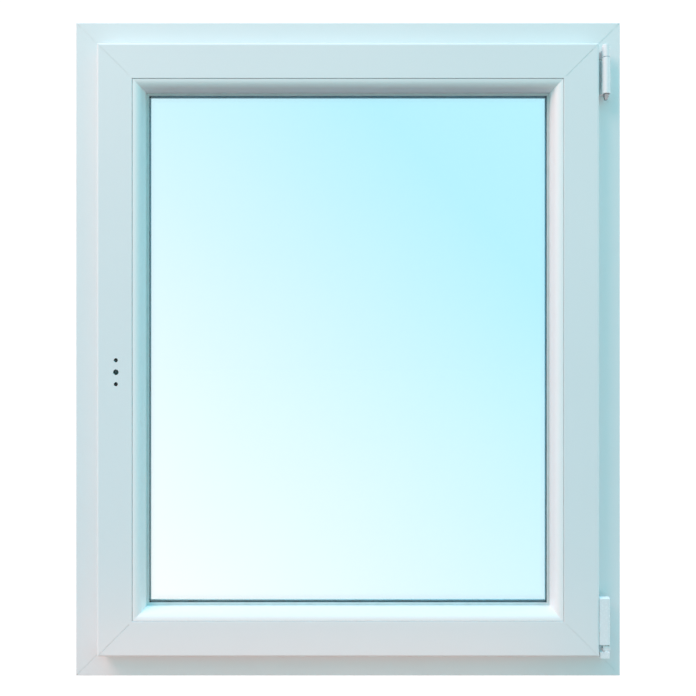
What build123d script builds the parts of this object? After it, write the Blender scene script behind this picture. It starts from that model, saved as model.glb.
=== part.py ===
"""Tilt-and-turn casement window, 1000 x 1200 mm, closed and unlocked, without a handle.

Millimetres, +Z up. The origin is the centre of the frame's bottom face, X runs along the sill and
-Y points into the room. Hollow plastic profiles are drawn once as a section (u, y): u is the
distance in from the frame's outer edge, y the depth through the wall. Each profile runs round the
four sides and is mitred at the corners.
"""

import os

from build123d import *

# ---- driving dimensions ----
WIDTH = 1000.0
HEIGHT = 1200.0
FRAME_DEPTH = 70.0
WALL = 3.0
WELD_WIDTH = 1.3
WELD_DEEP = 0.9

# frame section, u inward from the outer edge
REBATE_U = 56.0
STOP_U = 76.0
STOP_Y = 13.0

# sash section
SASH_EDGE_U = 48.0
SASH_BODY_U = 68.0
BEAD_LINE_U = 112.0
SASH_LEG_U = 132.0
SIGHT_U = 135.0
SASH_ROOM_Y = -62.0
LIP_BACK_Y = -38.0
SASH_OUT_Y = 9.0

# glazing: 4 mm panes, 12 mm gap
PANE = 4.0
GLASS_GAP = 12.0
GLASS_ROOM_Y = -35.0
GLASS_EDGE_U = 117.0
GASKET = 4.0

# hardware groove in the sash edge
GROOVE_Y = -25.0
GROOVE_STEP_U = 70.5
GROOVE_FLOOR_U = 80.0
FACEPLATE = 2.3

# hinge line and tilt axis
HINGE_X = 467.0
HINGE_Y = -52.0
TILT_Z = 61.5
HINGE_PIN_R = 2.5
RUNNING = 0.05

# handle gearbox
HANDLE_X = -417.0
HANDLE_Z = 560.0
HANDLE_HOLE_PITCH = 43.0
SPINDLE = 7.2
TEETH = 12
TOOTH_PITCH = 6.0
ROD_STROKE = 18.0

# cams and stay
SIDE_CAMS_Z = (300.0, 860.0)
TOP_CAM_X = -150.0
BOTTOM_CAMS_X = (-250.0, 150.0)
STAY_PIN_X = 43.0
STAY_Z = 1137.0

ROOM_Y = -FRAME_DEPTH / 2
OUTSIDE_Y = FRAME_DEPTH / 2
GLASS_OUT_Y = GLASS_ROOM_Y + 2 * PANE + GLASS_GAP
LEG_IN_Y = GLASS_OUT_Y + GASKET

# each side of the window: middle of its outer edge, direction inward, length
SIDES = {
    "bottom": (Vector(0, 0, 0), Vector(0, 0, 1), WIDTH),
    "top": (Vector(0, 0, HEIGHT), Vector(0, 0, -1), WIDTH),
    "left": (Vector(-WIDTH / 2, 0, HEIGHT / 2), Vector(1, 0, 0), HEIGHT),
    "right": (Vector(WIDTH / 2, 0, HEIGHT / 2), Vector(-1, 0, 0), HEIGHT),
}
FRAME_NAMES = {
    "bottom": "frame_sill",
    "top": "frame_head",
    "left": "frame_jamb_left",
    "right": "frame_jamb_right",
}
SASH_NAMES = {
    "bottom": "sash_bottom_rail",
    "top": "sash_top_rail",
    "left": "sash_lock_stile",
    "right": "sash_hinge_stile",
}

os.makedirs("parts", exist_ok=True)


def save(part, name):
    """Label a finished piece and write its STEP file."""
    part.label = name
    export_step(part, f"parts/{name}.step")


def side_plane(side):
    """Local x is u (inward), local y is Y, local z runs along the side."""
    origin, inward, _ = SIDES[side]
    return Plane(origin=origin, x_dir=inward, z_dir=inward.cross(Vector(0, 1, 0)))


def mitred_run(side, outline, radii, chambers=()):
    """A profile run along one side and cut at 45 degrees at both ends."""
    origin, inward, length = SIDES[side]
    reach = SIGHT_U + 5
    plane = side_plane(side)
    flat = Plane(origin=origin, x_dir=plane.z_dir, z_dir=plane.z_dir.cross(inward))
    with BuildPart() as run:
        with BuildSketch(plane):
            with BuildLine():
                FilletPolyline(*outline, radius=list(radii), close=True)
            make_face()
            for u_low, y_low, u_high, y_high in chambers:
                with Locations(((u_low + u_high) / 2, (y_low + y_high) / 2)):
                    Rectangle(u_high - u_low, y_high - y_low, mode=Mode.SUBTRACT)
        extrude(amount=length / 2, both=True)
        with BuildSketch(flat):
            with BuildLine():
                Polyline(
                    (-length / 2, 0),
                    (length / 2, 0),
                    (length / 2 - reach, reach),
                    (-length / 2 + reach, reach),
                    close=True,
                )
            make_face()
        extrude(amount=FRAME_DEPTH * 2, both=True, mode=Mode.INTERSECT)
    return run.part


def weld_lines(face_y):
    """Shallow bars along the four mitres, centred on a face: the trimmed weld seams they leave."""
    with BuildPart() as bars:
        for x_side in (-1, 1):
            for corner_z, up in ((0, 1), (HEIGHT, -1)):
                corner = Vector(x_side * WIDTH / 2, face_y, corner_z)
                across = Vector(x_side, 0, up)
                along = Vector(-x_side, 0, up)
                with BuildSketch(Plane(origin=corner, x_dir=across, z_dir=along)):
                    Rectangle(WELD_WIDTH, 2 * WELD_DEEP)
                extrude(amount=STOP_U * 2)
    return bars.part


def ring(outline, radii):
    """The same profile round all four sides, joined at the mitres."""
    with BuildPart() as whole:
        for side in SIDES:
            add(mitred_run(side, outline, radii))
    return whole.part


def straight_bars(u_low, y_low, u_high, y_high, thickness, end_gap):
    """Steel U-channels inside the four hollow profiles, open towards the glass, cut square."""
    with BuildPart() as bars:
        for side, (_, _, length) in SIDES.items():
            with BuildSketch(side_plane(side)):
                with Locations(((u_low + u_high) / 2, (y_low + y_high) / 2)):
                    Rectangle(u_high - u_low, y_high - y_low)
                with Locations(((u_low + u_high + thickness) / 2, (y_low + y_high) / 2)):
                    Rectangle(
                        u_high - u_low - thickness,
                        y_high - y_low - 2 * thickness,
                        mode=Mode.SUBTRACT,
                    )
            extrude(amount=length / 2 - end_gap, both=True)
    return bars.part


def block(low, high):
    """A plain box between two corners, as a loose object to add or subtract."""
    with BuildPart() as piece:
        with Locations(tuple((a + b) / 2 for a, b in zip(low, high))):
            Box(*[b - a for a, b in zip(low, high)])
    return piece.part


def rod(start, axis, radius, length, end_radius=None):
    """A round bar or cone from start along axis."""
    with BuildPart() as piece:
        with BuildSketch(Plane(origin=start, z_dir=axis)):
            Circle(radius)
        if end_radius is None:
            extrude(amount=length)
        else:
            with BuildSketch(Plane(origin=Vector(*start) + Vector(*axis) * length, z_dir=axis)):
                Circle(end_radius)
            loft()
    return piece.part


def countersunk_screw(head_at, axis, shank_r, length):
    """A screw whose flat head lies at head_at; axis points into the material."""
    head_r = 2 * shank_r - 0.2
    head_deep = head_r - shank_r
    with BuildPart() as screw:
        add(rod(head_at, axis, head_r, head_deep, shank_r))
        add(rod(head_at, axis, shank_r, length))
        with BuildSketch(Plane(origin=head_at, z_dir=axis)):
            Rectangle(1.2 * shank_r, 0.35 * shank_r)
            Rectangle(0.35 * shank_r, 1.2 * shank_r)
        extrude(amount=head_deep / 2, mode=Mode.SUBTRACT)
    return screw.part


def screw_seat(head_at, axis, shank_r, length):
    """The hole that a countersunk screw leaves."""
    head_r = 2 * shank_r - 0.2
    with BuildPart() as seat:
        add(rod(head_at, axis, head_r, head_r - shank_r, shank_r))
        add(rod(head_at, axis, shank_r, length))
    return seat.part


# ---- screws: (head centre, direction, length), shared by the screws and the holes they sit in ----
SCREW_R = 1.75
STAY_LEAF_SCREWS = [((449.5, -37.2, z), (0, 1, 0), 17.0) for z in (1080.0, 1112.0)]
PIVOT_SCREWS = [((459.0, -40.0, 49.6), (0, 1, 0), 20.0)]
CORNER_HINGE_SCREWS = [((434.8, -26.0, z), (-1, 0, 0), 20.0) for z in (165.0, 185.0, 205.0)]
FACEPLATE_SCREW_AT = {
    "left": [(SASH_BODY_U, GROOVE_Y, a) for a in (-460.0, 460.0)],
    "top": [(SASH_BODY_U, GROOVE_Y, a) for a in (110.0, 250.0, 390.0)],
    "bottom": [(SASH_BODY_U, GROOVE_Y, a) for a in (-290.0, 362.0)],
}
FACEPLATE_SCREW_LENGTH = 15.0
KEEP_SCREW_Y = -21.5
KEEP_TOP_U = REBATE_U + 2.0
KEEP_SCREW_LENGTH = 12.0
KEEP_BASE = (-14.0, 42.0)
KEEP_HOOK = (7.0, 32.0)

# a cam's place along its side; locking moves it towards + on every side
CAMS = {
    "left": [z - HEIGHT / 2 for z in SIDE_CAMS_Z],
    "top": [TOP_CAM_X],
    "bottom": [-x for x in BOTTOM_CAMS_X],
}


def keep_screw_places(side, at):
    """Both screws of a keep, in its side's own coordinates."""
    low = -KEEP_BASE[1] if side == "bottom" else KEEP_BASE[0]
    return [(KEEP_TOP_U, KEEP_SCREW_Y, at + low + 4), (KEEP_TOP_U, KEEP_SCREW_Y, at + KEEP_BASE[1] - 4)]


def in_world(side, place):
    """A point given as (u, y, along) on a side, in window coordinates."""
    return side_plane(side).from_local_coords(Vector(*place))


# ---- outer frame ----
FRAME_OUTLINE = [
    (0, ROOM_Y),
    (REBATE_U, ROOM_Y),
    (REBATE_U, STOP_Y),
    (STOP_U, STOP_Y),
    (STOP_U - 2, OUTSIDE_Y),
    (0, OUTSIDE_Y),
]
FRAME_RADII = [1.5, 1.0, 0.0, 1.0, 3.0, 1.5]
FRAME_CHAMBERS = [
    (WALL, ROOM_Y + WALL, REBATE_U - WALL, -18.0),
    (WALL, -15.0, REBATE_U - WALL, STOP_Y),
    (WALL, STOP_Y + WALL, STOP_U - 5, OUTSIDE_Y - WALL),
]
FIXING_HOLE_R = 3.0
FIXING_Y = -1.0
FIXING_Z = (200.0, 1000.0)
DRAIN_X = 300.0

for side, name in FRAME_NAMES.items():
    with BuildPart() as frame_member:
        add(mitred_run(side, FRAME_OUTLINE, FRAME_RADII, FRAME_CHAMBERS))
        for face_y in (ROOM_Y, OUTSIDE_Y):
            add(weld_lines(face_y), mode=Mode.SUBTRACT)
        for at in CAMS.get(side, []):
            for place in keep_screw_places(side, at):
                inward = SIDES[side][1]
                add(
                    rod(in_world(side, place), -inward, SCREW_R, KEEP_SCREW_LENGTH),
                    mode=Mode.SUBTRACT,
                )
        if side == "right":
            for head_at, axis, length in STAY_LEAF_SCREWS + PIVOT_SCREWS:
                add(rod(head_at, axis, SCREW_R, length), mode=Mode.SUBTRACT)
            add(rod((HINGE_X, -40.0, 49.6), (0, 1, 0), 3.0, 20.0), mode=Mode.SUBTRACT)
        if side in ("left", "right"):
            for z in FIXING_Z:
                start = in_world(side, (-1, FIXING_Y, 0))
                add(
                    rod((start.X, FIXING_Y, z), SIDES[side][1], FIXING_HOLE_R, STOP_U),
                    mode=Mode.SUBTRACT,
                )
        if side == "bottom":
            for x in (-DRAIN_X, DRAIN_X):
                add(block((x - 14, OUTSIDE_Y - 5, 14), (x + 14, OUTSIDE_Y + 1, 19)), mode=Mode.SUBTRACT)
                add(block((x - 74, 4, 50), (x - 46, 9, 57)), mode=Mode.SUBTRACT)
    save(frame_member.part, name)

with BuildPart() as frame_reinforcements:
    add(straight_bars(3.4, -14.6, 43.4, 12.6, 1.5, 60.0))
    for x_side in (-1, 1):
        for z in FIXING_Z:
            add(
                rod((x_side * (WIDTH / 2 + 1), FIXING_Y, z), (-x_side, 0, 0), FIXING_HOLE_R, 20.0),
                mode=Mode.SUBTRACT,
            )
save(frame_reinforcements.part, "frame_reinforcements")

SEAL_OUTLINE = [(66, STOP_Y), (66.6, SASH_OUT_Y + 0.2), (70.5, SASH_OUT_Y + 0.2), (72, STOP_Y)]
save(ring(SEAL_OUTLINE, [0, 1.2, 1.2, 0]), "frame_seal")

with BuildPart() as drain_caps:
    for x in (-DRAIN_X, DRAIN_X):
        with BuildSketch(Plane.XY.offset(11)):
            with Locations((x, OUTSIDE_Y + 1.75)):
                RectangleRounded(40, 3.5, 1.5)
        extrude(amount=12)
        add(block((x - 12, OUTSIDE_Y - 0.1, 10.5), (x + 12, OUTSIDE_Y + 2.2, 20)), mode=Mode.SUBTRACT)
save(drain_caps.part, "drain_caps")


def keep(side, at):
    """A striker: a base on the rebate floor with a hook on the room side of the locked cam."""
    low, high = KEEP_BASE
    hooks = [KEEP_HOOK]
    if side == "bottom":
        low = -high
        hooks.append((-KEEP_HOOK[1], -KEEP_HOOK[0]))
    with BuildPart(side_plane(side)) as striker:
        with Locations(((REBATE_U + KEEP_TOP_U) / 2, -24.25, at + (low + high) / 2)):
            Box(KEEP_TOP_U - REBATE_U, 20.5, high - low)
        for hook_low, hook_high in hooks:
            with Locations((61.25, -32.75, at + (hook_low + hook_high) / 2)):
                Box(6.5, 3.5, hook_high - hook_low)
        for place in keep_screw_places(side, at):
            add(screw_seat(place, (-1, 0, 0), SCREW_R, KEEP_SCREW_LENGTH), mode=Mode.SUBTRACT)
    return striker.part


for side, name in (("left", "side_keeps"), ("top", "top_keep"), ("bottom", "bottom_keeps")):
    with BuildPart() as keeps:
        for at in CAMS[side]:
            add(keep(side, at))
    save(keeps.part, name)

with BuildPart() as keep_screws:
    for side, places in CAMS.items():
        for at in places:
            for place in keep_screw_places(side, at):
                start = in_world(side, place)
                add(countersunk_screw(start, -SIDES[side][1], SCREW_R, KEEP_SCREW_LENGTH))
save(keep_screws.part, "keep_screws")

# ---- upper hinge, frame part ----
BEARING_LOW = 1063.0
BEARING_HIGH = 1128.5
KNUCKLE_LOW = 1129.5
KNUCKLE_HIGH = 1151.5
SLEEVE_R = 7.4
CAP_R = 6.7
SLEEVE_IN_R = 5.7
BEARING_R = 5.5
HINGE = Plane(origin=(HINGE_X, HINGE_Y, 0))

with BuildPart() as stay_bearing:
    with BuildSketch(HINGE.offset(BEARING_LOW + 1)):
        Circle(BEARING_R)
        Circle(HINGE_PIN_R, mode=Mode.SUBTRACT)
    extrude(amount=BEARING_HIGH - BEARING_LOW - 2)
    add(block((HINGE_X - 4, HINGE_Y + 4, 1066), (HINGE_X + 4, ROOM_Y, 1126)))
    add(block((445, ROOM_Y - 2.2, 1066), (HINGE_X + 4, ROOM_Y, 1126)))
    for head_at, axis, length in STAY_LEAF_SCREWS:
        add(screw_seat(head_at, axis, SCREW_R, length), mode=Mode.SUBTRACT)
save(stay_bearing.part, "stay_bearing")

with BuildPart() as stay_bearing_sleeve:
    with BuildSketch(HINGE.offset(BEARING_LOW)):
        Circle(SLEEVE_R)
        Circle(SLEEVE_IN_R, mode=Mode.SUBTRACT)
        with Locations((0, 6)):
            Rectangle(8.6, 8, mode=Mode.SUBTRACT)
    extrude(amount=BEARING_HIGH - BEARING_LOW)
    rim = stay_bearing_sleeve.faces().sort_by(Axis.Z)[-1].outer_wire().edges().filter_by(GeomType.CIRCLE)
    chamfer(rim.sort_by(Axis.Y)[0], length=0.8)
save(stay_bearing_sleeve.part, "stay_bearing_sleeve")

with BuildPart() as stay_pin:
    with BuildSketch(HINGE.offset(1052)):
        Circle(HINGE_PIN_R)
    extrude(amount=KNUCKLE_HIGH - 3 - 1052)
    add(rod((HINGE_X, HINGE_Y, 1052), (0, 0, 1), 2.6, 6, 4.6))
    add(rod((HINGE_X, HINGE_Y, 1058), (0, 0, 1), 4.6, 4.6))
save(stay_pin.part, "stay_pin")

# ---- lower hinge, frame part ----
PIVOT_LOW = 45.0
PIVOT_HIGH = 54.4
PIVOT_PIN_R = 3.0

with BuildPart() as pivot_rest:
    add(block((455.6, -40, PIVOT_LOW), (471.2, ROOM_Y, PIVOT_HIGH)))
    add(block((461.6, -56.2, PIVOT_LOW), (471.2, -40, PIVOT_HIGH)))
    add(rod((HINGE_X, ROOM_Y, 49.6), (0, 1, 0), 3.0, 14.0))
    with BuildSketch(HINGE.offset(PIVOT_LOW + 1)):
        Circle(PIVOT_PIN_R + RUNNING)
    extrude(amount=PIVOT_HIGH - PIVOT_LOW, mode=Mode.SUBTRACT)
    for head_at, axis, length in PIVOT_SCREWS:
        add(screw_seat(head_at, axis, SCREW_R, length), mode=Mode.SUBTRACT)
save(pivot_rest.part, "pivot_rest")

with BuildPart() as pivot_rest_cover:
    with BuildSketch(Plane.XY.offset(PIVOT_LOW - 1.2)):
        with Locations((463.4, -46.7)):
            RectangleRounded(18.2, 22.6, 2.2)
    extrude(amount=PIVOT_HIGH + 0.6 - PIVOT_LOW + 1.2)
    add(block((455.4, -56.4, PIVOT_LOW - 0.2), (471.4, ROOM_Y + 1, PIVOT_HIGH + 0.2)), mode=Mode.SUBTRACT)
    add(block((450, ROOM_Y, 40), (480, ROOM_Y + 5, 60)), mode=Mode.SUBTRACT)
    with BuildSketch(HINGE.offset(PIVOT_HIGH - 1)):
        Circle(4.2)
    extrude(amount=3, mode=Mode.SUBTRACT)
save(pivot_rest_cover.part, "pivot_rest_cover")

with BuildPart() as hinge_screws:
    for head_at, axis, length in STAY_LEAF_SCREWS + PIVOT_SCREWS:
        add(countersunk_screw(head_at, axis, SCREW_R, length))
save(hinge_screws.part, "hinge_screws")

# ---- tilt knuckle: vertical pin below, cross bore above ----
TILT_PIN_R = 2.0

with BuildPart() as tilt_knuckle:
    with BuildSketch(HINGE.offset(PIVOT_LOW + 1.5)):
        Circle(PIVOT_PIN_R)
    extrude(amount=12)
    with BuildSketch(HINGE.offset(PIVOT_HIGH + 0.3)):
        Circle(3.9)
    extrude(amount=3.2)
    add(block((463.2, -56, 57.6), (470.8, -48, 65.4)))
    knuckle_edges = tilt_knuckle.edges().filter_by(Axis.X).group_by(Axis.Z)[-1]
    fillet(knuckle_edges, radius=3.2)
    add(rod((460, HINGE_Y, TILT_Z), (1, 0, 0), TILT_PIN_R + RUNNING, 14), mode=Mode.SUBTRACT)
save(tilt_knuckle.part, "tilt_knuckle")

# ---- sash profiles ----
GROOVE_STEP_Y = (GROOVE_Y - 8, GROOVE_Y + 8)
GROOVE_DEEP_Y = (GROOVE_Y - 6, GROOVE_Y + 6)
BEAD_SLOT_Y = (-48.0, -44.0)
LEG_SLOPE = 11.0
SASH_OUTLINE = [
    (SASH_EDGE_U, SASH_ROOM_Y),
    (BEAD_LINE_U, SASH_ROOM_Y),
    (BEAD_LINE_U, BEAD_SLOT_Y[0]),
    (107.5, BEAD_SLOT_Y[0]),
    (107.5, BEAD_SLOT_Y[1]),
    (BEAD_LINE_U, BEAD_SLOT_Y[1]),
    (BEAD_LINE_U, LEG_IN_Y),
    (SASH_LEG_U, LEG_IN_Y),
    (SASH_LEG_U - LEG_SLOPE, SASH_OUT_Y),
    (SASH_BODY_U, SASH_OUT_Y),
    (SASH_BODY_U, GROOVE_STEP_Y[1]),
    (GROOVE_STEP_U, GROOVE_STEP_Y[1]),
    (GROOVE_STEP_U, GROOVE_DEEP_Y[1]),
    (GROOVE_FLOOR_U, GROOVE_DEEP_Y[1]),
    (GROOVE_FLOOR_U, GROOVE_DEEP_Y[0]),
    (GROOVE_STEP_U, GROOVE_DEEP_Y[0]),
    (GROOVE_STEP_U, GROOVE_STEP_Y[0]),
    (SASH_BODY_U, GROOVE_STEP_Y[0]),
    (SASH_BODY_U, LIP_BACK_Y),
    (SASH_EDGE_U, LIP_BACK_Y),
]
SASH_RADII = [4.5, 0.8, 0, 0, 0, 0, 0, 1.0, 3.0, 1.0, 0, 0, 0, 0, 0, 0, 0, 0, 0, 1.5]
SASH_CHAMBERS = [
    (SASH_EDGE_U + WALL, SASH_ROOM_Y + WALL, 104.5, LIP_BACK_Y - WALL),
    (GROOVE_FLOOR_U + WALL, LIP_BACK_Y, 109.0, -18.0),
    (SASH_BODY_U + WALL, -15.0, 109.0, SASH_OUT_Y - WALL),
    (BEAD_LINE_U, LEG_IN_Y + WALL, SASH_LEG_U - LEG_SLOPE - WALL, SASH_OUT_Y - WALL),
]
HANDLE_HOLE_R = 3.75
SPINDLE_HOLE_R = 5.1
HANDLE_SCREW_Z = (HANDLE_Z - HANDLE_HOLE_PITCH / 2, HANDLE_Z + HANDLE_HOLE_PITCH / 2)

for side, name in SASH_NAMES.items():
    with BuildPart() as sash_member:
        add(mitred_run(side, SASH_OUTLINE, SASH_RADII, SASH_CHAMBERS))
        for face_y in (SASH_ROOM_Y, SASH_OUT_Y):
            add(weld_lines(face_y), mode=Mode.SUBTRACT)
        for place in FACEPLATE_SCREW_AT.get(side, []):
            start = in_world(side, place)
            add(rod(start, SIDES[side][1], SCREW_R, FACEPLATE_SCREW_LENGTH), mode=Mode.SUBTRACT)
        if side == "left":
            pocket_low = (-WIDTH / 2 + GROOVE_STEP_U, GROOVE_DEEP_Y[0], HANDLE_Z - 52)
            pocket_high = (-WIDTH / 2 + 99, GROOVE_DEEP_Y[1], HANDLE_Z + 52)
            add(block(pocket_low, pocket_high), mode=Mode.SUBTRACT)
            front = (0, 1, 0)
            through = GROOVE_DEEP_Y[0] - SASH_ROOM_Y
            for z in HANDLE_SCREW_Z:
                add(
                    rod((HANDLE_X, SASH_ROOM_Y, z), front, HANDLE_HOLE_R, through),
                    mode=Mode.SUBTRACT,
                )
            add(
                rod((HANDLE_X, SASH_ROOM_Y, HANDLE_Z), front, SPINDLE_HOLE_R, through),
                mode=Mode.SUBTRACT,
            )
        if side == "right":
            for head_at, axis, length in CORNER_HINGE_SCREWS:
                add(rod(head_at, axis, SCREW_R, length), mode=Mode.SUBTRACT)
    save(sash_member.part, name)

save(straight_bars(71.4, -14.6, 108.6, 5.6, 1.5, 120.0), "sash_reinforcements")

SASH_SEAL_OUTLINE = [(50, LIP_BACK_Y), (50.4, -35.2), (53, -35.2), (54, LIP_BACK_Y)]
SASH_SEAL_SHORT = [(50, LIP_BACK_Y), (50.4, -36.4), (53, -36.4), (54, LIP_BACK_Y)]
with BuildPart() as sash_seal:
    add(mitred_run("left", SASH_SEAL_OUTLINE, [0, 0.8, 0.8, 0]))
    add(mitred_run("top", SASH_SEAL_OUTLINE, [0, 0.8, 0.8, 0]))
    add(mitred_run("right", SASH_SEAL_OUTLINE, [0, 0.8, 0.8, 0]))
    add(block((424, -38.1, 1060), (460, ROOM_Y + 1, 1160)), mode=Mode.SUBTRACT)
    add(block((430, -38.1, 30), (460, ROOM_Y + 1, 150)), mode=Mode.SUBTRACT)
    add(block((-460, -38.1, 30), (-430, ROOM_Y + 1, 60)), mode=Mode.SUBTRACT)
    add(mitred_run("bottom", SASH_SEAL_SHORT, [0, 0.8, 0.8, 0]))
save(sash_seal.part, "sash_seal")

# ---- glazing ----
BEAD_TOP_Y = SASH_ROOM_Y + 0.8
BEAD_BACK_Y = GLASS_ROOM_Y - GASKET - 0.2
BEAD_START_U = BEAD_LINE_U + 0.6
BEAD_NOSE_U = 131.0
BEAD_ROUND = 14.0
BEAD_OUTLINE = [
    (BEAD_START_U, BEAD_TOP_Y),
    (123.0, BEAD_TOP_Y),
    (BEAD_NOSE_U, -45.0),
    (BEAD_NOSE_U, BEAD_BACK_Y),
    (BEAD_START_U, BEAD_BACK_Y),
    (BEAD_START_U, BEAD_SLOT_Y[1] - 0.3),
    (108.0, BEAD_SLOT_Y[1] - 0.3),
    (108.0, BEAD_SLOT_Y[0] + 0.3),
    (BEAD_START_U, BEAD_SLOT_Y[0] + 0.3),
]
BEAD_RADII = [0.5, BEAD_ROUND, 1.5, 0, 0, 0, 0, 0, 0]
BEAD_CHAMBERS = [(115.0, -53.0, 123.0, -42.0)]

for side in SIDES:
    save(mitred_run(side, BEAD_OUTLINE, BEAD_RADII, BEAD_CHAMBERS), f"glazing_bead_{side}")

ROOM_GASKET_OUTLINE = [
    (118, BEAD_BACK_Y),
    (BEAD_NOSE_U, BEAD_BACK_Y),
    (SIGHT_U, BEAD_BACK_Y + 2),
    (SIGHT_U, GLASS_ROOM_Y),
    (118, GLASS_ROOM_Y),
]
save(ring(ROOM_GASKET_OUTLINE, [0, 0.8, 0.8, 0, 0]), "bead_gasket")

OUTER_GASKET_OUTLINE = [
    (118, GLASS_OUT_Y),
    (SIGHT_U, GLASS_OUT_Y),
    (SIGHT_U, GLASS_OUT_Y + 2),
    (SASH_LEG_U, LEG_IN_Y),
    (118, LEG_IN_Y),
]
save(ring(OUTER_GASKET_OUTLINE, [0, 0, 0.8, 0, 0]), "outer_gasket")

GLASS_W = WIDTH - 2 * GLASS_EDGE_U
GLASS_H = HEIGHT - 2 * GLASS_EDGE_U
for name, room_face in (
    ("inner_pane", GLASS_ROOM_Y),
    ("outer_pane", GLASS_OUT_Y - PANE),
):
    with BuildPart() as pane:
        with BuildSketch(Plane(origin=(0, room_face, HEIGHT / 2), x_dir=(1, 0, 0), z_dir=(0, 1, 0))):
            Rectangle(GLASS_W, GLASS_H)
        extrude(amount=PANE)
    save(pane.part, name)

GAP_ROOM_Y = GLASS_ROOM_Y + PANE
GAP_OUT_Y = GAP_ROOM_Y + GLASS_GAP
SPACER_U = (125.0, 132.5)
SPACER_OUTLINE = [
    (SPACER_U[0], GAP_ROOM_Y),
    (SPACER_U[1], GAP_ROOM_Y),
    (SPACER_U[1], GAP_OUT_Y),
    (SPACER_U[0], GAP_OUT_Y),
]
save(ring(SPACER_OUTLINE, [0, 0, 0, 0]), "spacer_bar")
SEALANT_OUTLINE = [
    (GLASS_EDGE_U + 0.5, GAP_ROOM_Y),
    (SPACER_U[0], GAP_ROOM_Y),
    (SPACER_U[0], GAP_OUT_Y),
    (GLASS_EDGE_U + 0.5, GAP_OUT_Y),
]
save(ring(SEALANT_OUTLINE, [0, 0, 0, 0]), "edge_sealant")

BLOCK_LENGTH = 100.0
with BuildPart() as setting_blocks:
    for side, places in (("bottom", (-300, 300)), ("left", (-380, 380)), ("right", (-380, 380))):
        for along in places:
            corner = in_world(side, ((BEAD_LINE_U + GLASS_EDGE_U) / 2, -25.0, along))
            across = BLOCK_LENGTH if side == "bottom" else GLASS_EDGE_U - BEAD_LINE_U
            tall = GLASS_EDGE_U - BEAD_LINE_U if side == "bottom" else BLOCK_LENGTH
            with Locations(corner):
                Box(across, 20.0, tall)
save(setting_blocks.part, "setting_blocks")

# ---- lower hinge, sash part ----
BARREL_R = 4.6
COVER_LOW = 68.8
COVER_HIGH = 153.5

with BuildPart() as corner_hinge:
    with BuildSketch(HINGE.offset(67)):
        Circle(BARREL_R)
    extrude(amount=83)
    for x_low, x_high in ((460.6, 462.9), (471.1, 473.4)):
        add(block((x_low, -56.2, 57.4), (x_high, -47.8, 68.5)))
    add(block((460.6, -55.5, 66.6), (473.4, -48.5, 68.5)))
    add(block((HINGE_X - 4, HINGE_Y, 80), (HINGE_X, -35.3, 140)))
    add(block((432.3, -37.7, 80), (HINGE_X, -35.3, 140)))
    add(block((432.3, -37.7, 80), (434.8, -17.5, 215)))
    add(rod((460, HINGE_Y, TILT_Z), (1, 0, 0), TILT_PIN_R, 14), mode=Mode.SUBTRACT)
    for head_at, axis, length in CORNER_HINGE_SCREWS:
        add(screw_seat(head_at, axis, SCREW_R, length), mode=Mode.SUBTRACT)
save(corner_hinge.part, "corner_hinge")

save(rod((460.6, HINGE_Y, TILT_Z), (1, 0, 0), TILT_PIN_R, 12.8), "tilt_pin")

with BuildPart() as corner_hinge_cover:
    with BuildSketch(HINGE.offset(COVER_LOW)):
        with BuildLine():
            FilletPolyline(
                (-14.6, -7.5), (6.0, -7.5), (6.0, 1.5), (-14.6, 1.5), radius=[2.2, 5.9, 0, 0], close=True
            )
        make_face()
    extrude(amount=COVER_HIGH - COVER_LOW)
    chamfer(corner_hinge_cover.faces().sort_by(Axis.Z)[-1].edges(), length=1.8)
    with BuildSketch(HINGE.offset(COVER_LOW - 1)):
        with BuildLine():
            FilletPolyline(
                (-13.4, -6.3), (4.9, -6.3), (4.9, 3.0), (-13.4, 3.0), radius=[1.0, 4.8, 0, 0], close=True
            )
        make_face()
    extrude(amount=COVER_HIGH - COVER_LOW - 1, mode=Mode.SUBTRACT)
save(corner_hinge_cover.part, "corner_hinge_cover")

# ---- stay arm ----
STAY_LUG = (1132.0, 1144.0)
STAY_BAR = (STAY_Z, STAY_Z + 3)
# past here the lug is cut away underneath, because the sash rises a little as it tilts
STAY_LUG_END = 434.0

with BuildPart() as stay_arm:
    with BuildSketch(HINGE.offset(KNUCKLE_LOW + 0.5)):
        Circle(BEARING_R)
    extrude(amount=KNUCKLE_HIGH - KNUCKLE_LOW - 1.7)
    add(block((HINGE_X - 5, HINGE_Y, STAY_LUG[0]), (HINGE_X, -35.3, STAY_LUG[1])))
    add(block((STAY_LUG_END, -37.7, STAY_LUG[0]), (HINGE_X, -35.3, STAY_LUG[1])))
    add(block((425, -37.7, STAY_BAR[0]), (STAY_LUG_END, -35.3, STAY_LUG[1])))
    add(block((425, -37.7, STAY_BAR[0]), (441, -18, STAY_BAR[1])))
    add(block((STAY_PIN_X - 7, -32, STAY_BAR[0]), (430, -18, STAY_BAR[1])))
    with BuildSketch(HINGE.offset(KNUCKLE_LOW - 1)):
        Circle(HINGE_PIN_R + RUNNING)
    extrude(amount=KNUCKLE_HIGH - 1.5 - KNUCKLE_LOW, mode=Mode.SUBTRACT)
    add(rod((STAY_PIN_X, GROOVE_Y, STAY_Z - 1), (0, 0, 1), 2.0, 6), mode=Mode.SUBTRACT)
save(stay_arm.part, "stay_arm")

with BuildPart() as stay_slider:
    add(rod((STAY_PIN_X, GROOVE_Y, 1124), (0, 0, 1), 3.0, 13))
    add(rod((STAY_PIN_X, GROOVE_Y, STAY_Z), (0, 0, 1), 2.0, 4))
    add(rod((STAY_PIN_X, GROOVE_Y, STAY_BAR[1]), (0, 0, 1), 4.5, 1.5))
save(stay_slider.part, "stay_slider")

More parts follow.
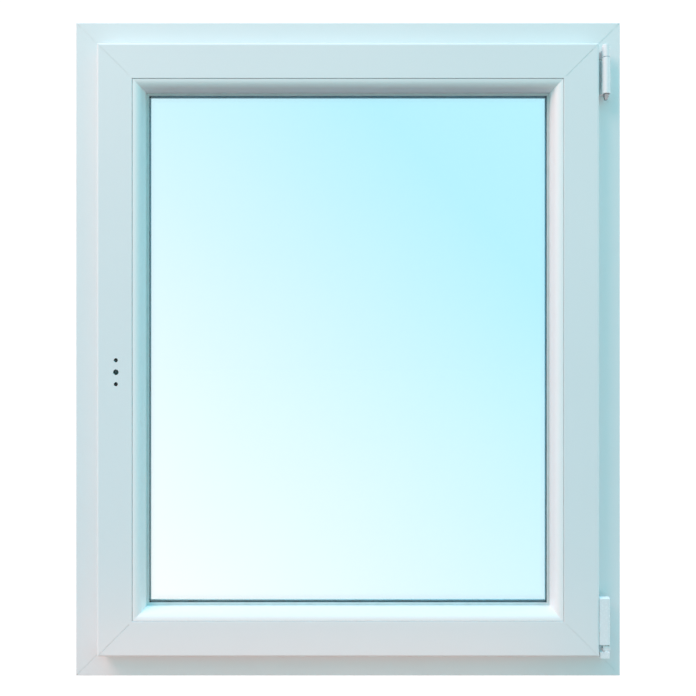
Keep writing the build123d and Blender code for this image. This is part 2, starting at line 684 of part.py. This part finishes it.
with BuildPart() as stay_knuckle_cap:
    with BuildSketch(HINGE.offset(KNUCKLE_LOW)):
        Circle(CAP_R)
        Circle(SLEEVE_IN_R, mode=Mode.SUBTRACT)
    extrude(amount=KNUCKLE_HIGH - KNUCKLE_LOW)
    with BuildSketch(HINGE.offset(KNUCKLE_HIGH - 1)):
        Circle(CAP_R)
    extrude(amount=1)
    add(block((HINGE_X - 5.3, HINGE_Y, STAY_LUG[0] - 0.3), (HINGE_X + 0.3, -35, STAY_LUG[1] + 0.3)),
        mode=Mode.SUBTRACT)
    chamfer(stay_knuckle_cap.faces().sort_by(Axis.Z)[-1].edges(), length=0.6)
save(stay_knuckle_cap.part, "stay_knuckle_cap")

# ---- gearbox and hub ----
GEARBOX_Y = (GROOVE_DEEP_Y[0] + 0.2, GROOVE_DEEP_Y[1] - 0.2)
PLATE = 1.6
HUB_R = 8.0
GEAR_Y = (-28.0, -22.0)
GEARBOX_X = (-WIDTH / 2 + 73.2, -WIDTH / 2 + 98.8)

with BuildPart() as gearbox_case:
    add(block((GEARBOX_X[0], GEARBOX_Y[0], HANDLE_Z - 50), (GEARBOX_X[1], GEARBOX_Y[1], HANDLE_Z + 50)))
    add(
        block(
            (GEARBOX_X[0] - 1, GEARBOX_Y[0] + PLATE, HANDLE_Z - 48),
            (GEARBOX_X[1] - 1.5, GEARBOX_Y[1] - PLATE, HANDLE_Z + 48),
        ),
        mode=Mode.SUBTRACT,
    )
    add(rod((HANDLE_X, -32, HANDLE_Z), (0, 1, 0), HUB_R + RUNNING, 14), mode=Mode.SUBTRACT)
    for z in HANDLE_SCREW_Z:
        add(rod((HANDLE_X, -32, z), (0, 1, 0), 2.1, 14), mode=Mode.SUBTRACT)
save(gearbox_case.part, "gearbox_case")

ROOT_R = 9.4
TIP_R = 12.4
TOOTH_ROOT = 2.8
TOOTH_TIP = 1.5
with BuildPart() as spindle_hub:
    with BuildSketch(Plane(origin=(HANDLE_X, GEAR_Y[0], HANDLE_Z), x_dir=(1, 0, 0), z_dir=(0, 1, 0))):
        Circle(ROOT_R)
        with PolarLocations(0, TEETH):
            with BuildLine():
                Polyline(
                    (ROOT_R - 1, -TOOTH_ROOT / 2),
                    (TIP_R, -TOOTH_TIP / 2),
                    (TIP_R, TOOTH_TIP / 2),
                    (ROOT_R - 1, TOOTH_ROOT / 2),
                    close=True,
                )
            make_face()
    extrude(amount=GEAR_Y[1] - GEAR_Y[0])
    add(rod((HANDLE_X, GEARBOX_Y[0], HANDLE_Z), (0, 1, 0), HUB_R, GEARBOX_Y[1] - GEARBOX_Y[0]))
    with BuildSketch(Plane(origin=(HANDLE_X, -32, HANDLE_Z), x_dir=(1, 0, 0), z_dir=(0, 1, 0))):
        Rectangle(SPINDLE, SPINDLE)
    extrude(amount=14, mode=Mode.SUBTRACT)
save(spindle_hub.part, "spindle_hub")

# ---- rods, cams and faceplates, drawn in their side's own coordinates ----
ROD_U = (70.5, 72.7)
ROD_SPAN = {"left": (-440.0, 440.0), "top": (-340.0, 10.0), "bottom": (-250.0, 340.0)}
PLATE_SPAN = {"left": (-466.0, 466.0), "top": (-366.0, 400.0), "bottom": (-300.0, 366.0)}
ROD_NAMES = {"left": "lock_rod", "top": "top_rod", "bottom": "bottom_rod"}
CAM_R = 4.5
CAM_SHANK_R = 3.0
WINDOWS = range(-4, 5)

for side, name in ROD_NAMES.items():
    low, high = ROD_SPAN[side]
    with BuildPart(side_plane(side)) as slide_rod:
        with Locations((sum(ROD_U) / 2, GROOVE_Y, (low + high) / 2)):
            Box(ROD_U[1] - ROD_U[0], 11.0, high - low)
        if side == "left":
            for step in WINDOWS:
                at = HANDLE_Z - HEIGHT / 2 + step * TOOTH_PITCH
                with Locations((sum(ROD_U) / 2, GROOVE_Y, at)):
                    Box(5.0, 6.6, 4.0, mode=Mode.SUBTRACT)
    save(slide_rod.part, name)

    with BuildPart() as cams:
        for at in CAMS[side]:
            outward = -SIDES[side][1]
            add(rod(in_world(side, (ROD_U[0], GROOVE_Y, at)), outward, CAM_SHANK_R, 3.5))
            add(rod(in_world(side, (67.2, GROOVE_Y, at)), outward, CAM_R, 7.2))
    save(cams.part, f"{name}_cams")

    low, high = PLATE_SPAN[side]
    with BuildPart(side_plane(side)) as faceplate:
        with Locations((SASH_BODY_U + FACEPLATE / 2, GROOVE_Y, (low + high) / 2)):
            Box(FACEPLATE, 15.6, high - low)
        for at in CAMS[side]:
            with Locations((SASH_BODY_U + FACEPLATE / 2, GROOVE_Y, at)):
                Box(FACEPLATE * 2, 7.0, 2 * (ROD_STROKE + CAM_SHANK_R + 1.0), mode=Mode.SUBTRACT)
        if side == "top":
            with Locations((SASH_BODY_U + FACEPLATE / 2, GROOVE_Y, STAY_PIN_X + 7)):
                Box(FACEPLATE * 2, 10.0, 28.0, mode=Mode.SUBTRACT)
        for place in FACEPLATE_SCREW_AT[side]:
            add(screw_seat(place, (1, 0, 0), SCREW_R, FACEPLATE_SCREW_LENGTH), mode=Mode.SUBTRACT)
    save(faceplate.part, f"{name.split('_')[0]}_faceplate")

with BuildPart() as sash_screws:
    for side, places in FACEPLATE_SCREW_AT.items():
        for place in places:
            start = in_world(side, place)
            add(countersunk_screw(start, SIDES[side][1], SCREW_R, FACEPLATE_SCREW_LENGTH))
    for head_at, axis, length in CORNER_HINGE_SCREWS:
        add(countersunk_screw(head_at, axis, SCREW_R, length))
save(sash_screws.part, "sash_screws")

CORNER_X = -WIDTH / 2 + SASH_BODY_U
for name, corner_z, up in (
    ("corner_drive_top", HEIGHT - SASH_BODY_U, -1),
    ("corner_drive_bottom", SASH_BODY_U, 1),
):
    ends_z = sorted((corner_z, corner_z + up * 62))
    leg_z = sorted((corner_z, corner_z + up * 11))
    with BuildPart() as corner_drive:
        add(block((CORNER_X, GROOVE_Y - 5.5, ends_z[0]), (CORNER_X + 11, GROOVE_Y + 5.5, ends_z[1])))
        add(block((CORNER_X, GROOVE_Y - 5.5, leg_z[0]), (CORNER_X + 62, GROOVE_Y + 5.5, leg_z[1])))
    save(corner_drive.part, name)
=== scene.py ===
"""Looks of a white tilt-and-turn window: materials, detail pieces, floor, light and camera.

Metres, +Z up, the room is at -Y. Places come from the CAD nodes' boxes.
"""

import math

import bmesh
import bpy
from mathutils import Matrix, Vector


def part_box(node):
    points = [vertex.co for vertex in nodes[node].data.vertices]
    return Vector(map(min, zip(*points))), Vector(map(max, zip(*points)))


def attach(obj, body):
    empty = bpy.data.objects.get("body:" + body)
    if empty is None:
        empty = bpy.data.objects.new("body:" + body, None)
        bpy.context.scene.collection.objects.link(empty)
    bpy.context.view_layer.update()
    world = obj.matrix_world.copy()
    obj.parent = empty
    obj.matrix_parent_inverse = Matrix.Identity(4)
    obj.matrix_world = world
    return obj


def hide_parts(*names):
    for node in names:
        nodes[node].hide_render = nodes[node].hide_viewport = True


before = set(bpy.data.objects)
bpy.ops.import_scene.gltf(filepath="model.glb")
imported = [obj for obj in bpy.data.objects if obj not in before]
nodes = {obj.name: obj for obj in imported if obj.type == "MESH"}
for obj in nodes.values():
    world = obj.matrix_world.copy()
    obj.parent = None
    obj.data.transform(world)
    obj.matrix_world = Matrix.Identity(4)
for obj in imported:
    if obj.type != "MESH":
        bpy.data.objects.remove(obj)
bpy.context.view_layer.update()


# ---- small node-graph helpers ----
class Graph:
    """One material's node tree, with the short forms that the materials below share."""

    def __init__(self, name):
        self.material = bpy.data.materials.new(name)
        self.material.use_nodes = True
        self.tree = self.material.node_tree
        self.shader = self.tree.nodes["Principled BSDF"]
        self.output = self.tree.nodes["Material Output"]
        self.place = self.tree.nodes.new("ShaderNodeTexCoord").outputs["Object"]

    def node(self, kind, **values):
        made = self.tree.nodes.new(kind)
        for key, value in values.items():
            if hasattr(made, key):
                setattr(made, key, value)
            else:
                made.inputs[key.replace("_", " ")].default_value = value
        return made

    def link(self, a, b):
        self.tree.links.new(a, b)

    def stretched(self, scale):
        """Object coordinates multiplied by scale, so a texture runs along one axis."""
        mapping = self.node("ShaderNodeMapping")
        mapping.inputs["Scale"].default_value = scale
        self.link(self.place, mapping.inputs["Vector"])
        return mapping.outputs["Vector"]

    def noise(self, scale, detail=3.0, rough=0.5, vector=None):
        made = self.node("ShaderNodeTexNoise", Scale=scale, Detail=detail, Roughness=rough)
        self.link(vector or self.place, made.inputs["Vector"])
        return made.outputs["Fac"]

    def spread(self, value, low, high, from_low=0.3, from_high=0.7):
        """value from its usual range to low..high."""
        made = self.node("ShaderNodeMapRange")
        limits = {"From Min": from_low, "From Max": from_high, "To Min": low, "To Max": high}
        for key, number in limits.items():
            made.inputs[key].default_value = number
        self.link(value, made.inputs["Value"])
        return made.outputs["Result"]

    def ramp(self, value, stops):
        made = self.node("ShaderNodeValToRGB")
        elements = made.color_ramp.elements
        while len(elements) < len(stops):
            elements.new(0.5)
        for element, (at, colour) in zip(elements, stops):
            element.position = at
            element.color = (*colour, 1)
        self.link(value, made.inputs["Fac"])
        return made.outputs["Color"]

    def bump(self, height, distance, strength=1.0, under=None):
        made = self.node("ShaderNodeBump", Strength=strength, Distance=distance)
        self.link(height, made.inputs["Height"])
        if under is not None:
            self.link(under, made.inputs["Normal"])
        return made.outputs["Normal"]

    def use(self, colour=None, roughness=None, normal=None, **constants):
        for key, socket in (("Base Color", colour), ("Roughness", roughness), ("Normal", normal)):
            if socket is not None:
                self.link(socket, self.shader.inputs[key])
        for key, value in constants.items():
            self.shader.inputs[key.replace("_", " ")].default_value = value
        return self.material


# ---- materials ----
def white_plastic(name, along, light, dark, roughness):
    """White plastic. along scales the texture, so that faint lines run with the extrusion."""
    g = Graph(name)
    tone = g.noise(3.0, 2.0)
    colour = g.ramp(tone, [(0.3, dark), (0.7, light)])
    lines = g.noise(1.0, 4.0, 0.6, g.stretched(along))
    peel = g.noise(900.0, 1.0)
    rough = g.spread(lines, roughness, roughness + 0.08)
    normal = g.bump(lines, 0.00003, 0.5, g.bump(peel, 0.00002, 0.4))
    return g.use(colour, rough, normal, IOR=1.52)


def steel(name, light, dark, roughness, grain, along=(1, 1, 1), spangle=0.0):
    """Metal with a fine grain. spangle gives the size of zinc crystals, in cells per metre."""
    g = Graph(name)
    fine = g.noise(grain, 5.0, 0.65, g.stretched(along))
    if spangle:
        cells = g.node("ShaderNodeTexVoronoi", Scale=spangle)
        g.link(g.place, cells.inputs["Vector"])
        patches = g.node("ShaderNodeSeparateColor")
        g.link(cells.outputs["Color"], patches.inputs["Color"])
        tone = patches.outputs["Red"]
        colour = g.ramp(tone, [(0.0, dark), (1.0, light)])
    else:
        colour = g.ramp(fine, [(0.3, dark), (0.7, light)])
    rough = g.spread(fine, roughness - 0.07, roughness + 0.12)
    normal = g.bump(fine, 0.00003, 0.5)
    return g.use(colour, rough, normal, Metallic=1.0)


def rubber(name, light, dark, roughness=0.55):
    """Matt rubber or block plastic."""
    g = Graph(name)
    tone = g.noise(60.0, 3.0)
    fine = g.noise(1500.0, 2.0)
    colour = g.ramp(tone, [(0.3, dark), (0.7, light)])
    rough = g.spread(tone, roughness, roughness + 0.12)
    return g.use(colour, rough, g.bump(fine, 0.00003, 0.5), IOR=1.5)


def glass(name, colour_at):
    """Clear glass that lamps and soft light shine straight through; the function passed in gives
    its colour, which for the room pane is a painted sky reflection.
    """
    g = Graph(name)
    colour = colour_at(g)
    ripple = g.bump(g.noise(2.0, 1.0), 0.00004, 0.05)
    smears = g.spread(g.noise(8.0, 2.0), 0.0, 0.012)
    g.use(colour, smears, ripple, IOR=1.5, Transmission_Weight=1.0)
    open_to_lamps = g.node("ShaderNodeMixShader")
    clear = g.node("ShaderNodeBsdfTransparent")
    g.link(colour, clear.inputs["Color"])
    path = g.node("ShaderNodeLightPath")
    either = g.node("ShaderNodeMath", operation="MAXIMUM")
    g.link(path.outputs["Is Shadow Ray"], either.inputs[0])
    g.link(path.outputs["Is Diffuse Ray"], either.inputs[1])
    g.link(either.outputs["Value"], open_to_lamps.inputs["Fac"])
    g.link(g.shader.outputs["BSDF"], open_to_lamps.inputs[1])
    g.link(clear.outputs["BSDF"], open_to_lamps.inputs[2])
    g.link(open_to_lamps.outputs["Shader"], g.output.inputs["Surface"])
    return g.material


PANE_LOW, PANE_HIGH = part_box("inner_pane")
PANE_MIDDLE = (PANE_LOW + PANE_HIGH) / 2
# the room pane's painted sky reflection runs from WHITE_CORNER at the lower left to BLUE_CORNER at
# the upper right
WHITE_CORNER = (0.97, 1.0, 1.0)
BLUE_CORNER = (0.47, 0.87, 1.0)
TOWARDS_BLUE = (0.74, 0.0, 0.67)
WHITE_AT = -0.62
BLUE_AT = 0.34


def painted_sky_reflection(g):
    """Painted sky reflection on the room-side pane: white at the lower left, blue at the upper
    right.
    """
    away = g.node("ShaderNodeVectorMath", operation="DOT_PRODUCT")
    away.inputs[1].default_value = TOWARDS_BLUE
    centred = g.node("ShaderNodeVectorMath", operation="SUBTRACT")
    centred.inputs[1].default_value = PANE_MIDDLE
    g.link(g.place, centred.inputs[0])
    g.link(centred.outputs["Vector"], away.inputs[0])
    along = g.spread(away.outputs["Value"], 0.0, 1.0, WHITE_AT, BLUE_AT)
    uneven = g.spread(g.noise(4.0, 1.0), -0.01, 0.01)
    total = g.node("ShaderNodeMath", operation="ADD", use_clamp=True)
    g.link(along, total.inputs[0])
    g.link(uneven, total.inputs[1])
    return g.ramp(total.outputs["Value"], [(0.0, WHITE_CORNER), (1.0, BLUE_CORNER)])


def float_green(g):
    """The faint green of ordinary float glass."""
    patches = g.noise(2.0, 1.0)
    return g.ramp(patches, [(0.3, (0.965, 0.985, 0.98)), (0.7, (0.975, 0.99, 0.985))])


UPVC_LIGHT = (0.86, 0.885, 0.89)
UPVC_DARK = (0.84, 0.868, 0.875)
# BEAD_LIGHT and BEAD_DARK make a whiter copy of the profile plastic: painted light on the left,
# right and bottom glazing beads
BEAD_LIGHT = (0.955, 0.96, 0.955)
BEAD_DARK = (0.94, 0.948, 0.945)
COVER_LIGHT = (0.90, 0.92, 0.93)
COVER_DARK = (0.87, 0.89, 0.905)
LACQUER_LIGHT = (0.88, 0.90, 0.91)
LACQUER_DARK = (0.85, 0.87, 0.88)
ZINC_LIGHT = (0.66, 0.68, 0.70)
ZINC_DARK = (0.48, 0.50, 0.53)
ZINC_CRYSTALS = 160.0
RUNS_UP = (900.0, 900.0, 6.0)
RUNS_ACROSS = (6.0, 900.0, 900.0)
MOULDED = (300.0, 300.0, 300.0)

materials = {
    "upright": white_plastic("upvc_upright", RUNS_UP, UPVC_LIGHT, UPVC_DARK, 0.30),
    "level": white_plastic("upvc_level", RUNS_ACROSS, UPVC_LIGHT, UPVC_DARK, 0.30),
    "bead_upright_painted_light": white_plastic("bead_upright_painted_light", RUNS_UP, BEAD_LIGHT, BEAD_DARK, 0.28),
    "bead_level_painted_light": white_plastic("bead_level_painted_light", RUNS_ACROSS, BEAD_LIGHT, BEAD_DARK, 0.28),
    "cover": white_plastic("moulded_cover", MOULDED, COVER_LIGHT, COVER_DARK, 0.22),
    "galvanised": steel("galvanised", ZINC_LIGHT, ZINC_DARK, 0.42, 400.0, spangle=ZINC_CRYSTALS),
    "hardware": steel("silver_hardware", (0.76, 0.77, 0.79), (0.60, 0.62, 0.64), 0.32, 700.0),
    # the pin steel is darkened as painted shade, for the stay pin's end that sits in shadow under
    # the hinge
    "pin": steel("pin_darkened_as_shade", (0.42, 0.44, 0.46), (0.28, 0.30, 0.32), 0.26, 1200.0, (1, 1, 6)),
    "lacquer": white_plastic("white_lacquer", MOULDED, LACQUER_LIGHT, LACQUER_DARK, 0.34),
    "seal": rubber("grey_seal", (0.60, 0.69, 0.69), (0.54, 0.63, 0.63)),
    # the outer gasket's near-white rubber is painted light, brightening a lip that sits in shade
    # behind the panes
    "lit_outer_seal": rubber("outer_seal_painted_light", (0.95, 0.97, 0.97), (0.91, 0.94, 0.94)),
    "butyl": rubber("black_butyl", (0.035, 0.035, 0.038), (0.02, 0.02, 0.022), 0.7),
    "block": rubber("block_plastic", (0.30, 0.36, 0.44), (0.24, 0.29, 0.36), 0.45),
    "spacer": steel("dark_spacer", (0.012, 0.12, 0.15), (0.006, 0.07, 0.09), 0.45, 900.0),
    "room_pane": glass("room_pane", painted_sky_reflection),
    "outside_pane": glass("outside_pane", float_green),
}

FINISH = {
    "upright": ["frame_jamb_left", "frame_jamb_right", "sash_lock_stile", "sash_hinge_stile"],
    # the top glazing bead keeps the profile white, while the other three beads take the whiter
    # painted-light copy
    "level": ["frame_sill", "frame_head", "sash_bottom_rail", "sash_top_rail", "glazing_bead_top"],
    "bead_upright_painted_light": ["glazing_bead_left", "glazing_bead_right"],
    "bead_level_painted_light": ["glazing_bead_bottom"],
    "cover": ["stay_bearing_sleeve", "stay_knuckle_cap", "pivot_rest_cover", "corner_hinge_cover",
              "drain_caps"],
    "galvanised": ["frame_reinforcements", "sash_reinforcements"],
    "hardware": ["side_keeps", "top_keep", "bottom_keeps", "stay_arm", "stay_slider",
                 "gearbox_case", "spindle_hub", "lock_rod", "top_rod", "bottom_rod",
                 "lock_faceplate", "top_faceplate", "bottom_faceplate", "corner_drive_top",
                 "corner_drive_bottom"],
    "lacquer": ["stay_bearing", "pivot_rest", "tilt_knuckle", "corner_hinge"],
    "pin": ["stay_pin", "tilt_pin", "lock_rod_cams", "top_rod_cams", "bottom_rod_cams",
            "keep_screws", "hinge_screws", "sash_screws"],
    "seal": ["sash_seal"],
    "butyl": ["edge_sealant"],
    "block": ["setting_blocks"],
    "room_pane": ["inner_pane"],
    "outside_pane": ["outer_pane"],
}
for finish, names in FINISH.items():
    for name in names:
        for slot in nodes[name].material_slots:
            slot.material = materials[finish]


# ---- detail pieces: seals and spacer run round a rectangle, so each is a mitred section ----
MM = 0.001
SHARP_EDGE = math.radians(40)


def arc(middle, radius, start, end, steps=8):
    """Points of an arc in a section, in degrees."""
    angles = [math.radians(start + (end - start) * i / steps) for i in range(steps + 1)]
    return [(middle[0] + radius * math.cos(a), middle[1] + radius * math.sin(a)) for a in angles]


def new_piece(name, points, faces, finish, smooth):
    """One mesh object, with doubled points merged and its faces turned outward."""
    mesh = bpy.data.meshes.new(name)
    mesh.from_pydata(points, [], faces)
    mesh.polygons.foreach_set("use_smooth", [smooth] * len(faces))
    shell = bmesh.new()
    shell.from_mesh(mesh)
    bmesh.ops.remove_doubles(shell, verts=shell.verts, dist=0.00001)
    bmesh.ops.recalc_face_normals(shell, faces=shell.faces)
    shell.to_mesh(mesh)
    shell.free()
    mesh.materials.append(materials[finish])
    piece = bpy.data.objects.new(name, mesh)
    bpy.context.scene.collection.objects.link(piece)
    return piece


def corner_points(low, high, inward, deep):
    """Corners of a rectangle inward from the box's edge, at a depth from its room side."""
    left, right = low.x + inward * MM, high.x - inward * MM
    bottom, top = low.z + inward * MM, high.z - inward * MM
    y = low.y + deep * MM
    return [(left, y, bottom), (right, y, bottom), (right, y, top), (left, y, top)]


def mitred_ring(name, node, section, finish, body):
    """A closed section in millimetres (inward, deep) carried round the four sides of a CAD ring."""
    low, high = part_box(node)
    points = []
    for inward, deep in section:
        points += corner_points(low, high, inward, deep)
    count = len(section)
    faces = []
    for i in range(count):
        after = (i + 1) % count
        for corner in range(4):
            turn = (corner + 1) % 4
            faces.append((4 * i + corner, 4 * i + turn, 4 * after + turn, 4 * after + corner))
    ring = new_piece(name, points, faces, finish, True)
    split = ring.modifiers.new("keep_edges", "EDGE_SPLIT")
    split.split_angle = SHARP_EDGE
    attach(ring, body)
    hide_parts(node)


LIP = [(0.0, 0.0), (13.0, 0.0), (13.3, 0.45), (14.3, 0.35)]
LIP += arc((15.4, 1.9), 1.6, -80, 0) + [(17.0, 4.2), (0.0, 4.2)]
mitred_ring("bead_gasket_lip", "bead_gasket", LIP, "seal", "sash")
# the outer lip takes the near-white seal colour, painted light for its place in shade behind the
# panes
OUTER_LIP = [(0.0, 0.0), (15.0, 0.0)] + arc((13.4, 1.4), 1.6, 0, 60)
OUTER_LIP += [(13.2, 3.4), (12.8, 4.0), (0.0, 4.0)]
mitred_ring("outer_gasket_lip", "outer_gasket", OUTER_LIP, "lit_outer_seal", "sash")
BULB = [(0.3, 3.8), (0.5, 2.6)] + arc((2.6, 1.85), 1.8, 160, 380, 14) + [(5.2, 2.9), (5.8, 3.8)]
mitred_ring("frame_bulb_seal", "frame_seal", BULB, "seal", "outer_frame")

# the spacer's face towards the middle of the pane has two rows of small slots, and is plain near
# the corner keys. ROWS are depths across that face, and SLOT_ROWS are the sunk ones.
SPACER_HIGH = 7.5
SPACER_DEEP = 12.0
SLOT_PITCH = 5.0
SLOT_LENGTH = 2.0
SLOT_DEEP = 0.5
SLOT_RAMP = 0.3
KEY_LENGTH = 16.0
ROWS = [0.0, 2.4, 2.7, 3.5, 3.8, 8.2, 8.5, 9.3, 9.6, SPACER_DEEP]
SLOT_ROWS = (2, 3, 6, 7)


def slotted_face(start, along, out, length, points, faces):
    """A strip from start towards along; out points away from the spacer's middle, into the gap."""
    stations = [(0.0, False)]
    count = int((length - 2 * KEY_LENGTH) // SLOT_PITCH)
    margin = (length - count * SLOT_PITCH) / 2
    for i in range(count):
        begin = margin + i * SLOT_PITCH + (SLOT_PITCH - SLOT_LENGTH) / 2
        end = begin + SLOT_LENGTH
        stations += [(begin - SLOT_RAMP, False), (begin, True)]
        stations += [(end, True), (end + SLOT_RAMP, False)]
    stations.append((length, False))
    first = len(points)
    for distance, in_slot in stations:
        for row, deep in enumerate(ROWS):
            sunk = SLOT_DEEP if in_slot and row in SLOT_ROWS else 0.0
            place = start + (along * distance + Vector((0, deep, 0)) - out * sunk) * MM
            points.append(tuple(place))
    width = len(ROWS)
    for i in range(len(stations) - 1):
        for j in range(width - 1):
            a = first + i * width + j
            faces.append((a, a + width, a + width + 1, a + 1))


def slotted_spacer():
    """The spacer bar: four slotted faces on a plain channel."""
    low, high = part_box("spacer_bar")
    points, faces = [], []
    inner = corner_points(low, high, SPACER_HIGH, 0.0)
    for corner in range(4):
        start = Vector(inner[corner])
        end = Vector(inner[(corner + 1) % 4])
        along = (end - start).normalized()
        out = Vector((-along.z, 0, along.x))
        slotted_face(start, along, out, (end - start).length / MM, points, faces)
    first = len(points)
    channel = [(SPACER_HIGH, 0.0), (0.0, 0.0), (0.0, SPACER_DEEP), (SPACER_HIGH, SPACER_DEEP)]
    for inward, deep in channel:
        points += corner_points(low, high, inward, deep)
    for i in range(3):
        for corner in range(4):
            turn = (corner + 1) % 4
            a = first + 4 * i
            faces.append((a + corner, a + 4 + corner, a + 4 + turn, a + turn))
    bar = new_piece("slotted_spacer", points, faces, "spacer", False)
    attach(bar, "sash")
    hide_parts("spacer_bar")


slotted_spacer()


# ---- floor and backdrop: one pale sheet that curves up behind the window ----
FLOOR_BOUNCE = (0.38, 0.24, 0.22)
STAGE_GLOW = 1.06
GLOW_SHARE = 0.97
HALF_STAGE = 7.0
WALL_Y = 3.0
WALL_TOP = 7.0
CURVE_R = 1.5
CURVE_STEPS = 16


def pale_stage():
    """Near-white paper that glows evenly, and gives surfaces only a dim warm bounce."""
    g = Graph("pale_stage")
    is_diffuse = g.node("ShaderNodeLightPath").outputs["Is Diffuse Ray"]
    tone = g.ramp(g.noise(1.5, 2.0), [(0.3, (0.90, 0.91, 0.915)), (0.7, (0.93, 0.935, 0.94))])
    bounce = g.node("ShaderNodeMix", data_type="RGBA")
    bounce.inputs["B"].default_value = (*FLOOR_BOUNCE, 1)
    g.link(is_diffuse, bounce.inputs["Factor"])
    g.link(tone, bounce.inputs["A"])
    g.use(bounce.outputs["Result"], None, None, Roughness=0.85)
    glow = g.node("ShaderNodeEmission", Strength=STAGE_GLOW)
    unlit = g.node("ShaderNodeMath", operation="SUBTRACT")
    unlit.inputs[0].default_value = 1.0
    g.link(is_diffuse, unlit.inputs[1])
    share = g.node("ShaderNodeMath", operation="MULTIPLY")
    g.link(unlit.outputs["Value"], share.inputs[0])
    share.inputs[1].default_value = GLOW_SHARE
    mixed = g.node("ShaderNodeMixShader")
    g.link(share.outputs["Value"], mixed.inputs["Fac"])
    g.link(g.shader.outputs["BSDF"], mixed.inputs[1])
    g.link(glow.outputs["Emission"], mixed.inputs[2])
    g.link(mixed.outputs["Shader"], g.output.inputs["Surface"])
    g.material.cycles.emission_sampling = "NONE"
    return g.material


def build_stage():
    profile = [(-HALF_STAGE, 0.0), (WALL_Y - CURVE_R, 0.0)]
    for step in range(1, CURVE_STEPS + 1):
        angle = math.radians(90 * step / CURVE_STEPS)
        y = WALL_Y - CURVE_R + CURVE_R * math.sin(angle)
        profile.append((y, CURVE_R * (1 - math.cos(angle))))
    profile.append((WALL_Y, WALL_TOP))
    mesh = bpy.data.meshes.new("stage_sheet")
    points = [(x, y, z) for y, z in profile for x in (-HALF_STAGE, HALF_STAGE)]
    faces = [(2 * i, 2 * i + 1, 2 * i + 3, 2 * i + 2) for i in range(len(profile) - 1)]
    mesh.from_pydata(points, [], faces)
    mesh.polygons.foreach_set("use_smooth", [True] * len(faces))
    mesh.materials.append(pale_stage())
    stage = bpy.data.objects.new("stage_sheet", mesh)
    bpy.context.scene.collection.objects.link(stage)


build_stage()


# ---- light: a warm soft lamp from the upper left under a teal sky, with small warm lamps ----
# ---- at the foot of the window and beside and behind it                                  ----
HORIZON = (0.42, 0.90, 0.87)
ZENITH = (0.14, 1.22, 1.78)
ZENITH_FALLOFF = 2.0


def soft_sky():
    """White to the camera and in the glass; as light on surfaces, teal and bluer overhead."""
    world = bpy.data.worlds.new("studio")
    bpy.context.scene.world = world
    world.use_nodes = True
    nodes_of = world.node_tree.nodes
    link = world.node_tree.links.new
    direction = nodes_of.new("ShaderNodeSeparateXYZ")
    link(nodes_of.new("ShaderNodeTexCoord").outputs["Generated"], direction.inputs["Vector"])
    upward = nodes_of.new("ShaderNodeMath")
    upward.operation = "MAXIMUM"
    link(direction.outputs["Z"], upward.inputs[0])
    upward.inputs[1].default_value = 0.0
    height = nodes_of.new("ShaderNodeMath")
    height.operation = "POWER"
    link(upward.outputs["Value"], height.inputs[0])
    height.inputs[1].default_value = ZENITH_FALLOFF
    dome = nodes_of.new("ShaderNodeMix")
    dome.data_type = "RGBA"
    dome.inputs["A"].default_value = (*HORIZON, 1)
    dome.inputs["B"].default_value = (*ZENITH, 1)
    link(height.outputs["Value"], dome.inputs["Factor"])
    fill = nodes_of.new("ShaderNodeMix")
    fill.data_type = "RGBA"
    fill.inputs["A"].default_value = (1.0, 1.0, 1.0, 1)
    link(nodes_of.new("ShaderNodeLightPath").outputs["Is Diffuse Ray"], fill.inputs["Factor"])
    link(dome.outputs["Result"], fill.inputs["B"])
    sky = nodes_of["Background"]
    link(fill.outputs["Result"], sky.inputs["Color"])
    sky.inputs["Strength"].default_value = 1.0
    world.cycles.sampling_method = "NONE"


def soft_light(name, at, aim, shape, size, watts, colour):
    """An area lamp that lights surfaces but isn't seen itself, nor as a patch in the glass."""
    data = bpy.data.lights.new(name, "AREA")
    data.shape = shape
    data.size, data.size_y = size
    data.energy = watts
    data.color = colour
    made = bpy.data.objects.new(name, data)
    made.location = at
    made.rotation_euler = (Vector(aim) - Vector(at)).to_track_quat("-Z", "Y").to_euler()
    made.visible_glossy = False
    made.visible_camera = False
    made.visible_transmission = False
    bpy.context.scene.collection.objects.link(made)


MIDDLE = (0.0, 0.0, 0.6)
RIGHT_SIDE = (0.5, 0.0, 0.6)
FOOT = (-0.1, -0.04, 0.02)
WARM = (1.0, 0.48, 0.42)
WARM_SIDE = (1.0, 0.5, 0.44)
WARM_FOOT = (1.0, 0.24, 0.08)
NEARLY_WHITE = (1.0, 0.95, 0.93)

soft_sky()
soft_light("key", (-3.15, -1.97, 4.79), MIDDLE, "ELLIPSE", (3.2, 3.2), 258.0, WARM)
soft_light("low_strip", (-0.1, -0.22, 0.02), FOOT, "RECTANGLE", (1.0, 0.04), 0.2, WARM_FOOT)
soft_light("side", (4.0, 0.35, 0.8), RIGHT_SIDE, "ELLIPSE", (1.0, 1.0), 46.0, WARM_SIDE)
soft_light("back", (1.6, 2.5, 2.9), MIDDLE, "ELLIPSE", (1.2, 1.2), 50.0, NEARLY_WHITE)

# ---- camera: level and straight on, a little above the middle ----
LENS = 33.1
SENSOR = 36.0
DROP = -0.042
EYE = (0.0, -1.211, 0.656)
LEVEL = (math.pi / 2, 0.0, 0.0)

camera_data = bpy.data.cameras.new("camera")
camera_data.lens = LENS
camera_data.sensor_width = SENSOR
camera_data.shift_y = DROP
camera = bpy.data.objects.new("camera", camera_data)
camera.location = EYE
camera.rotation_euler = LEVEL
bpy.context.scene.collection.objects.link(camera)
bpy.context.scene.camera = camera
bpy.context.scene.view_settings.view_transform = "Standard"
